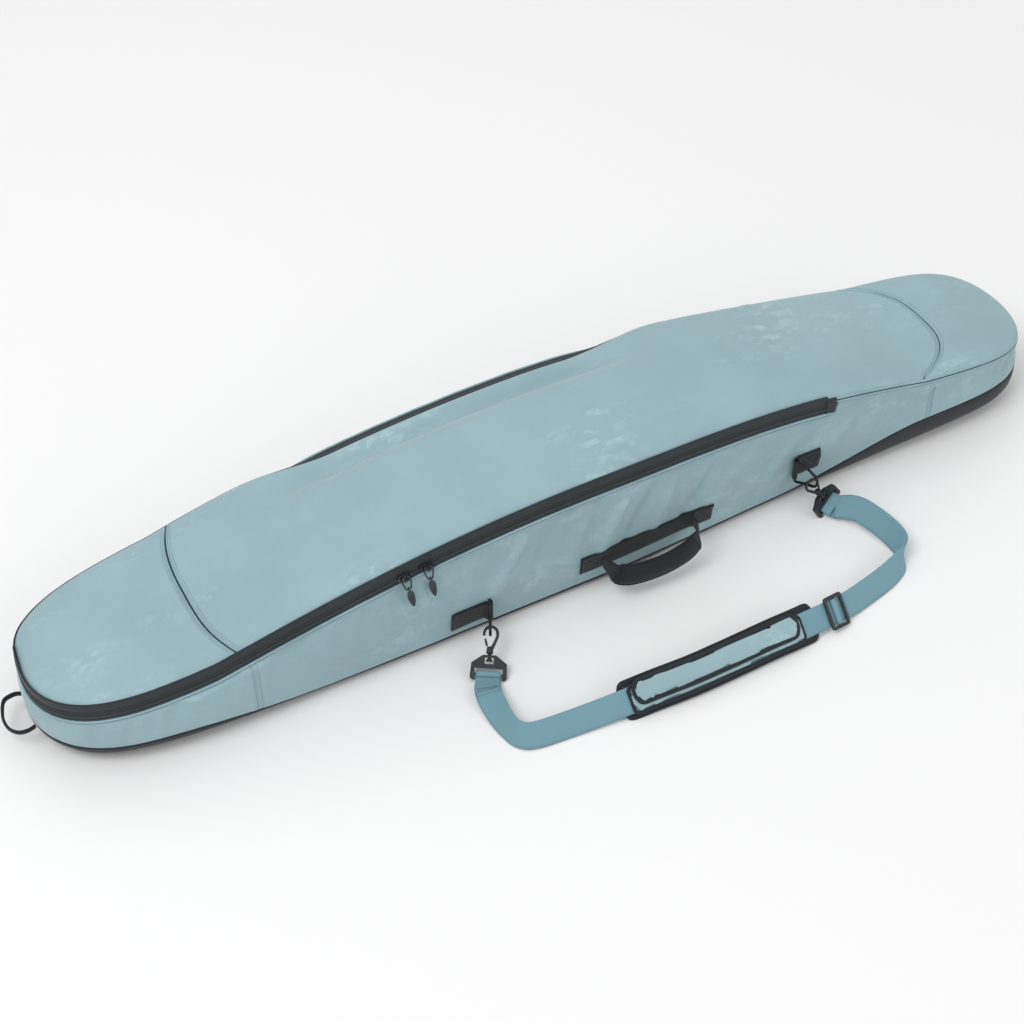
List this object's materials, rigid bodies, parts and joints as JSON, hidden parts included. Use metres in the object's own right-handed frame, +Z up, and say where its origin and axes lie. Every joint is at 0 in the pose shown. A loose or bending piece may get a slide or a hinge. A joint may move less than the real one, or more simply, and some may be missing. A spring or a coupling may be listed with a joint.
{
  "type": "snowboard bag",
  "caption": "Long padded snowboard bag with zipped lid, carry handle, nose loop and a clip-on padded shoulder strap.",
  "frame": {"origin": "on the floor under the middle of the bag's length and width", "axes": "+X from the nose to the tail, +Y away from the strap side, +Z up"},
  "size_m": [1.7553, 0.5556, 0.2576],
  "materials": {
    "shell_print": "woven print",
    "shell_plain": "woven",
    "base_cloth": "coated weave",
    "liner_cloth": "smooth lining",
    "piping": "piping",
    "zip_tape": "woven tape",
    "coil": "nylon coil",
    "dark_metal": "dark nickel",
    "black_plastic": "moulded",
    "black_web": "webbing",
    "strap_web": "webbing",
    "pad_charcoal": "binding",
    "pull_plastic": "moulded",
    "mat_board": "lined board"
  },
  "bodies": {
    "bag": {"base_panel": "base_cloth", "base_wrap_nose": "base_cloth", "base_wrap_tail": "base_cloth", "base_mat": "mat_board", "wall_near": "shell_print", "wall_far": "shell_print", "wall_nose": "shell_print", "wall_tail": "shell_print", "wall_lining": "liner_cloth", "rim_piping": "piping", "tail_piping": "piping", "zip_tape_wall": "zip_tape", "zip_coil_wall": "coil", "zip_end_near": "zip_tape", "zip_end_far": "zip_tape", "tail_top_panel": "shell_plain", "tail_cap_panel": "shell_plain", "tail_seam_piping": "piping", "tail_lining": "liner_cloth", "handle_web": "black_web", "tab_left": "black_web", "tab_right": "black_web"},
    "lid": {"lid_nose_panel": "shell_print", "lid_centre_panel": "shell_print", "nose_seam_piping": "piping", "lid_lining": "liner_cloth", "zip_tape_lid": "zip_tape", "zip_coil_lid": "coil"},
    "slider_a": {"slider_a": "dark_metal"},
    "link_a": {"link_a": "dark_metal"},
    "pull_a": {"pull_a": "pull_plastic"},
    "slider_b": {"slider_b": "dark_metal"},
    "link_b": {"link_b": "dark_metal"},
    "pull_b": {"pull_b": "pull_plastic"},
    "handle": {"handle_grip": "black_web", "handle_sleeve": "black_web"},
    "nose_loop": {"nose_loop": "black_web"},
    "ring_left": {"ring_left": "dark_metal"},
    "ring_right": {"ring_right": "dark_metal"},
    "strap": {"strap_web": "strap_web", "clip_base_left": "black_plastic", "clip_base_right": "black_plastic", "web_fold_left": "strap_web", "web_fold_right": "strap_web", "pad_back": "pad_charcoal", "pad_flap_lower": "shell_plain"},
    "hook_left": {"hook_left": "black_plastic"},
    "gate_left": {"gate_left": "dark_metal"},
    "hook_right": {"hook_right": "black_plastic"},
    "gate_right": {"gate_right": "dark_metal"},
    "pad_flap": {"pad_flap_upper": "shell_plain"},
    "adjuster": {"adjuster": "black_plastic", "adjuster_web": "strap_web"}
  },
  "joints": [
    {"name": "lid_hinge", "type": "hinge", "parent": "bag", "child": "lid", "pos_m": [0.415, 0, 0.222], "axis": [0, 1, 0], "range_deg": [0, 110]},
    {"name": "slider_a_slide", "type": "slide", "parent": "bag", "child": "slider_a", "axis": [-0.9908, 0.0001, -0.135], "range_m": [0, 0.06]},
    {"name": "link_a_swing", "type": "hinge", "parent": "slider_a", "child": "link_a", "pos_m": [-0.321, -0.1517, 0.19012], "axis": [-0.9908, 0.0001, -0.135], "range_deg": [0, 110]},
    {"name": "pull_a_swing", "type": "hinge", "parent": "link_a", "child": "pull_a", "pos_m": [-0.31817, -0.15316, 0.16937], "axis": [-0.9908, 0.0001, -0.135], "range_deg": [0, 60]},
    {"name": "slider_b_slide", "type": "slide", "parent": "bag", "child": "slider_b", "axis": [0.9927, 0, 0.1205], "range_m": [0, 0.06]},
    {"name": "link_b_swing", "type": "hinge", "parent": "slider_b", "child": "link_b", "pos_m": [-0.286, -0.1517, 0.19463], "axis": [-0.9927, 0, -0.1205], "range_deg": [0, 110]},
    {"name": "pull_b_swing", "type": "hinge", "parent": "link_b", "child": "pull_b", "pos_m": [-0.28348, -0.15316, 0.17384], "axis": [-0.9927, 0, -0.1205], "range_deg": [0, 60]},
    {"name": "handle_flip", "type": "hinge", "parent": "bag", "child": "handle", "pos_m": [0, -0.156, 0.058], "axis": [-1, 0, 0], "range_deg": [0, 70]},
    {"name": "nose_loop_flip", "type": "hinge", "parent": "bag", "child": "nose_loop", "pos_m": [-0.861, 0.008, 0.0325], "axis": [0, 1, 0], "range_deg": [0, 40]},
    {"name": "ring_left_turn", "type": "hinge", "parent": "bag", "child": "ring_left", "pos_m": [-0.19, -0.1525, 0.052], "axis": [0, 0, 1], "range_deg": [-2, 2]},
    {"name": "ring_right_turn", "type": "hinge", "parent": "bag", "child": "ring_right", "pos_m": [0.358, -0.1395, 0.078], "axis": [0, 0, 1], "range_deg": [-2, 2]},
    {"name": "strap_swing", "type": "hinge", "parent": "bag", "child": "strap", "pos_m": [-0.20407, -0.18012, 0.052], "axis": [-0.9988, -0.0189, -0.0455], "range_deg": [0, 75]},
    {"name": "swivel_left", "type": "hinge", "parent": "strap", "child": "hook_left", "pos_m": [-0.20226, -0.18076, 0.05145], "axis": [-0.4206, -0.6519, -0.6309], "range_deg": [-10, 10]},
    {"name": "gate_left_press", "type": "hinge", "parent": "hook_left", "child": "gate_left", "pos_m": [-0.21923, -0.19895, 0.03369], "axis": [0.02, 0.6886, -0.7249], "range_deg": [0, 20], "stiffness_Nm_per_rad": 0.02},
    {"name": "swivel_right", "type": "hinge", "parent": "strap", "child": "hook_right", "pos_m": [0.36234, -0.16971, 0.07532], "axis": [0.542, -0.1042, -0.8339], "range_deg": [-10, 10]},
    {"name": "gate_right_press", "type": "hinge", "parent": "hook_right", "child": "gate_right", "pos_m": [0.38266, -0.17247, 0.05266], "axis": [0.0128, -0.9911, 0.1322], "range_deg": [0, 20], "stiffness_Nm_per_rad": 0.02},
    {"name": "pad_flap_peel", "type": "hinge", "parent": "strap", "child": "pad_flap", "pos_m": [0.07607, -0.37137, 0.05316], "axis": [-0.9998, 0.01, -0.0153], "range_deg": [0, 110]},
    {"name": "adjuster_slide", "type": "slide", "parent": "strap", "child": "adjuster", "axis": [0.9873, 0.1243, -0.0987], "range_m": [0, 0.015]}
  ]
}
